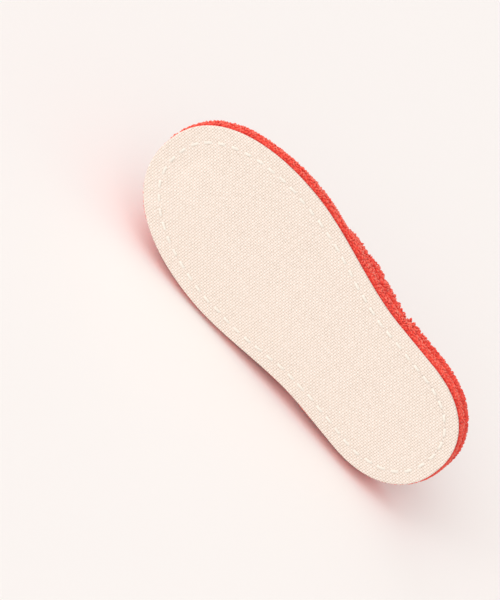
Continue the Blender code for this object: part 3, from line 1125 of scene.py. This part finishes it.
def build_vamp():
    x = vamp_stations()
    angle = np.linspace(0, np.pi, 2 * VAMP_ROWS + 1)[None]
    face = vamp_sheet(x, angle)
    normal = sheet_normals(face)
    face = face - normal * crease_depth(face[..., 0], angle)[..., None]
    from_hem = (x - (UPPER_END - HEM_SIDE)) / HEM_SIDE
    groove = np.exp(-((from_hem / HEM_GROOVE_WIDTH) ** 2))
    raised = HEM_STEP * smoothstep(0.0, HEM_RISE, from_hem) - HEM_GROOVE * groove
    outer = face + normal * (raised + CLOTH)[..., None]
    inner = face - normal * (UPPER_WALL - LINING_SINK)
    rim_way = face[-1] - face[-2]
    rim_way /= np.linalg.norm(rim_way, axis=1, keepdims=True)
    rim = [outer[-1] * (1 - s) + inner[-1] * s + rim_way * RIM_BULGE for s in RIM_SHARES]
    sheet = np.concatenate((outer, np.stack(rim), inner[::-1]))
    rows, columns = sheet.shape[:2]
    nap = np.ones((rows, columns))
    above_seam = np.minimum(1, np.sin(angle) * SEAM_NAP_RISE) / 2
    # short nap along the seam and in the hem groove, where the ground gets painted shade
    nap[:VAMP_STATIONS] = edge_nap(1 - above_seam) * (1 - groove) * bunched(face[..., 0])
    faces = grid_faces(rows, columns)
    i = np.arange(VAMP_STATIONS)
    for j in (0, columns - 1):
        strip = np.stack((i, i + 1, rows - 2 - i, rows - 1 - i), axis=1) * columns + j
        faces += strip.tolist()
    points = sheet.reshape(-1, 3)
    return add_piece(
        "vamp", points, faces, towelling_ground, "towelling", "upper", weld=True, nap=nap.ravel()
    )


vamp = build_vamp()

# %% [markdown]
# Now the pile. On the cloth its loops stand close together, in no visible rows. Geometry Nodes can
# scatter them too, but here each one also takes its height from the nap. Places are drawn at random over
# a surface and thinned out until no two are closer than the spacing, which looks like woven pile and never
# like a grid.

# %% Places of the loops
CANDIDATES = 5
LEAST_NAP = 0.01


def thin_out(places, spacing):
    """Indices of places at least the spacing apart, in the order in which they were drawn."""
    cells = {}
    kept = []
    reach = [(i, j, k) for i in (-1, 0, 1) for j in (-1, 0, 1) for k in (-1, 0, 1)]
    for index, place in enumerate(places.tolist()):
        cell = tuple(int(c // spacing) for c in place)
        near = [p for r in reach for p in cells.get((cell[0] + r[0], cell[1] + r[1], cell[2] + r[2]), ())]
        if all(math.dist(p, place) >= spacing for p in near):
            cells.setdefault(cell, []).append(place)
            kept.append(index)
    return kept


def read_values(mesh, name, width):
    """The numbers that add_values stored, as rows of the given width."""
    values = np.empty(len(mesh.vertices) * width, np.float32)
    mesh.attributes[name].data.foreach_get("vector" if width > 1 else "value", values)
    return values.reshape(-1, width).astype(float)


def pile_places(piece, carries, spacing, draw):
    """Places, surface normals and nap for loops on the part of a piece that carries pile."""
    mesh = piece.data
    points = read_values(mesh, "slipper", 3)
    nap = read_values(mesh, "nap", 1)
    corners = np.empty(len(mesh.loop_triangles) * 3, np.int32)
    mesh.loop_triangles.foreach_get("vertices", corners)
    corners = corners.reshape(-1, 3)
    a, b, c = (points[corners[:, k]] for k in range(3))
    facing = np.cross(b - a, c - a)
    normals = np.zeros_like(points)
    for k in range(3):
        np.add.at(normals, corners[:, k], facing)
    grows = carries(points, normals) & (nap[:, 0] > LEAST_NAP)
    area = np.linalg.norm(facing, axis=1) / 2 * grows[corners].all(1)
    count = int(area.sum() / spacing**2 * CANDIDATES)
    chosen = draw.choice(len(area), count, p=area / area.sum())
    share = draw.random((count, 2))
    share = np.where(share.sum(1, keepdims=True) > 1, 1 - share, share)
    weights = np.column_stack((1 - share.sum(1), share))[..., None]
    kept = thin_out((points[corners[chosen]] * weights).sum(1), spacing)
    corners = corners[chosen][kept]
    place, normal, height = ((v[corners] * weights[kept]).sum(1) for v in (points, normals, nap))
    return place, normal / np.linalg.norm(normal, axis=1, keepdims=True), height[:, 0]


print("places are drawn", CANDIDATES, "times over and then thinned out")

# %% [markdown]
# Use wears the pile down. The loops could be clipped afterwards, but their ends would then be cut flat, so
# each loop is made lower from the start. They are low round the heel, which is rubbed, at both tips, where
# the cloth is drawn tight, and along the side that the slipper lies on.

# %% Worn pile
RUB_START = 0.175
RUB_END = 0.215
RUBBED_LOOPS = 0.55
TIP_LENGTH = 0.012
TOE_LOOPS = 0.70
HEEL_LOOPS = 0.35
LYING_START = 0.6
LYING_END = 0.95
LYING_LOOPS = 0.50


def loops_left(x, y):
    """The share of their height that the loops keep at this place of the slipper."""
    rubbed = 1 - (1 - RUBBED_LOOPS) * smoothstep(RUB_START, RUB_END, x)
    toe = 1 - (1 - TOE_LOOPS) * smoothstep(TIP_LENGTH, 0.0, x)
    heel = 1 - (1 - HEEL_LOOPS) * smoothstep(TIP_LENGTH, 0.0, SOLE_LENGTH - x)
    across = y / np.maximum(half_width(x), WELD_DISTANCE)
    lying = 1 - (1 - LYING_LOOPS) * smoothstep(LYING_START, LYING_END, across)
    return rubbed * np.minimum(toe * heel, lying)


print("height left at each fifth of the middle line:", loops_left(fifths, 0 * fifths).round(2))

# %% [markdown]
# Each loop is a thick low arch of yarn, turned and leaned at random, and a few are pulled long, as on any
# washed towel. A tuft card with a picture of loops would be lighter, but it shows its edge from the side,
# so the loops are short tubes, and all those on a piece are one mesh. Their height and tint also go into a
# UV map, so that a bake finds the colour of every loop in one small picture.

# %% Loops of the pile
LOOP_HEIGHT = 0.0012
LOOP_HEIGHTS = (0.80, 1.20)
LOOP_WIDTH = 0.0015
LOOP_WIDTHS = (0.8, 1.25)
LOOP_LEAN = 0.45
LOOP_FULLNESS = 0.8
LOOP_CURL = 0.2
YARN_RADIUS = 0.00052
LOOP_ROOT = 0.0003
LOOP_STEPS = 5
LOOP_SIDES = 4
PULLED_SHARE = 0.05
PULLED_LENGTH = 1.4
SHORT_PILE = 0.15
BAKE_MARGIN = 0.02
BAKE_TINTS = 0.90
BAKE_SIDE = 0.02
BAKE_HEIGHTS = 0.96


def add_bake_map(mesh, pile, tint):
    """A UV map that lays every loop on the picture of tint by pile height."""
    side = np.tile(np.arange(LOOP_SIDES), len(pile) // LOOP_SIDES)
    across = BAKE_MARGIN + BAKE_TINTS * tint + BAKE_SIDE * side
    place = np.column_stack((across, BAKE_MARGIN + BAKE_HEIGHTS * pile))
    corner = np.empty(len(mesh.loops), np.int32)
    mesh.loops.foreach_get("vertex_index", corner)
    mesh.uv_layers.new(name="OFBake").uv.foreach_set("vector", place[corner].astype(np.float32).ravel())


def build_pile(name, piece, carries, spacing, seed, tall):
    draw = np.random.default_rng(seed)
    places, normal, nap = pile_places(piece, carries, spacing, draw)
    count = len(places)
    along = np.cross(normal, draw.normal(size=(count, 3)))
    along /= np.linalg.norm(along, axis=1, keepdims=True)
    beside = np.cross(normal, along)
    height = LOOP_HEIGHT * tall * draw.uniform(*LOOP_HEIGHTS, count) * nap
    height *= loops_left(places[:, 0], places[:, 1])
    height *= np.where(draw.random(count) < PULLED_SHARE, PULLED_LENGTH, 1.0)
    width = LOOP_WIDTH * draw.uniform(*LOOP_WIDTHS, count)
    lean = draw.normal(0, LOOP_LEAN, (count, 2))
    arc = np.linspace(0, np.pi, LOOP_STEPS)
    rise = np.sin(arc) ** LOOP_FULLNESS
    x = width[:, None] / 2 * np.cos(arc) + (lean[:, :1] * height[:, None]) * rise
    y = lean[:, 1:] * height[:, None] * rise + LOOP_CURL * width[:, None] * np.sin(2 * arc)
    z = height[:, None] * rise - LOOP_ROOT
    centres = places[:, None] + x[..., None] * along[:, None] + y[..., None] * beside[:, None]
    centres += z[..., None] * normal[:, None]
    points, faces = tube(centres, np.broadcast_to(beside[:, None], centres.shape), YARN_RADIUS, LOOP_SIDES)
    # the height that colours the loop: painted shade at its root and where the nap is short
    shown_height = np.clip(SHORT_PILE + (1 - SHORT_PILE) * nap[:, None], 0, 1)
    pile = np.repeat((rise * shown_height).ravel(), LOOP_SIDES)
    tint = np.repeat(draw.random(count), LOOP_STEPS * LOOP_SIDES)
    loops = add_piece(name, points, faces, towelling_pile, "towelling", turn=False, pile=pile, tint=tint)
    add_bake_map(loops.data, pile, tint)
    print(count, "loops on", piece.name)


print("a loop has", LOOP_STEPS * LOOP_SIDES, "points")

# %% [markdown]
# The same towelling covers the wall, the footbed and both sides of the vamp. One pile over everything
# would be simpler, but the cloth differs: it is densest on the wall, and the lining is thinner and lower.
# So each piece gets a pile of its own. The vamp gets two, and where its surface faces the middle of the
# foot it is the lining.

# %% Pile on each piece
FOOT_START = 0.04
FOOT_SHARE = 0.6
FOOT_LEVEL = 0.02


def everywhere(points, normals):
    return np.ones(len(points), bool)


def inside_of_vamp(points, normals):
    """Whether a point of the vamp is on its lining: there the surface faces the middle of the foot."""
    middle = np.zeros_like(points)
    middle[:, 0] = points[:, 0] * FOOT_SHARE + FOOT_START
    middle[:, 2] = FOOT_LEVEL
    return ((points - middle) * normals).sum(1) < 0


def outside_of_vamp(points, normals):
    return ~inside_of_vamp(points, normals)


# the piece that carries each pile, where on it, the spacing of the loops, their seed and relative height
PILES = {
    "band_pile": (band, everywhere, 0.00150, 21, 1.0),
    "footbed_pile": (footbed, everywhere, 0.00170, 22, 1.0),
    "vamp_pile": (vamp, outside_of_vamp, 0.00165, 23, 1.0),
    "lining_pile": (vamp, inside_of_vamp, 0.00190, 24, 0.8),
}
for pile_name, pile_facts in PILES.items():
    build_pile(pile_name, *pile_facts)

# %% [markdown] A dressed part should be about as large as its solids.
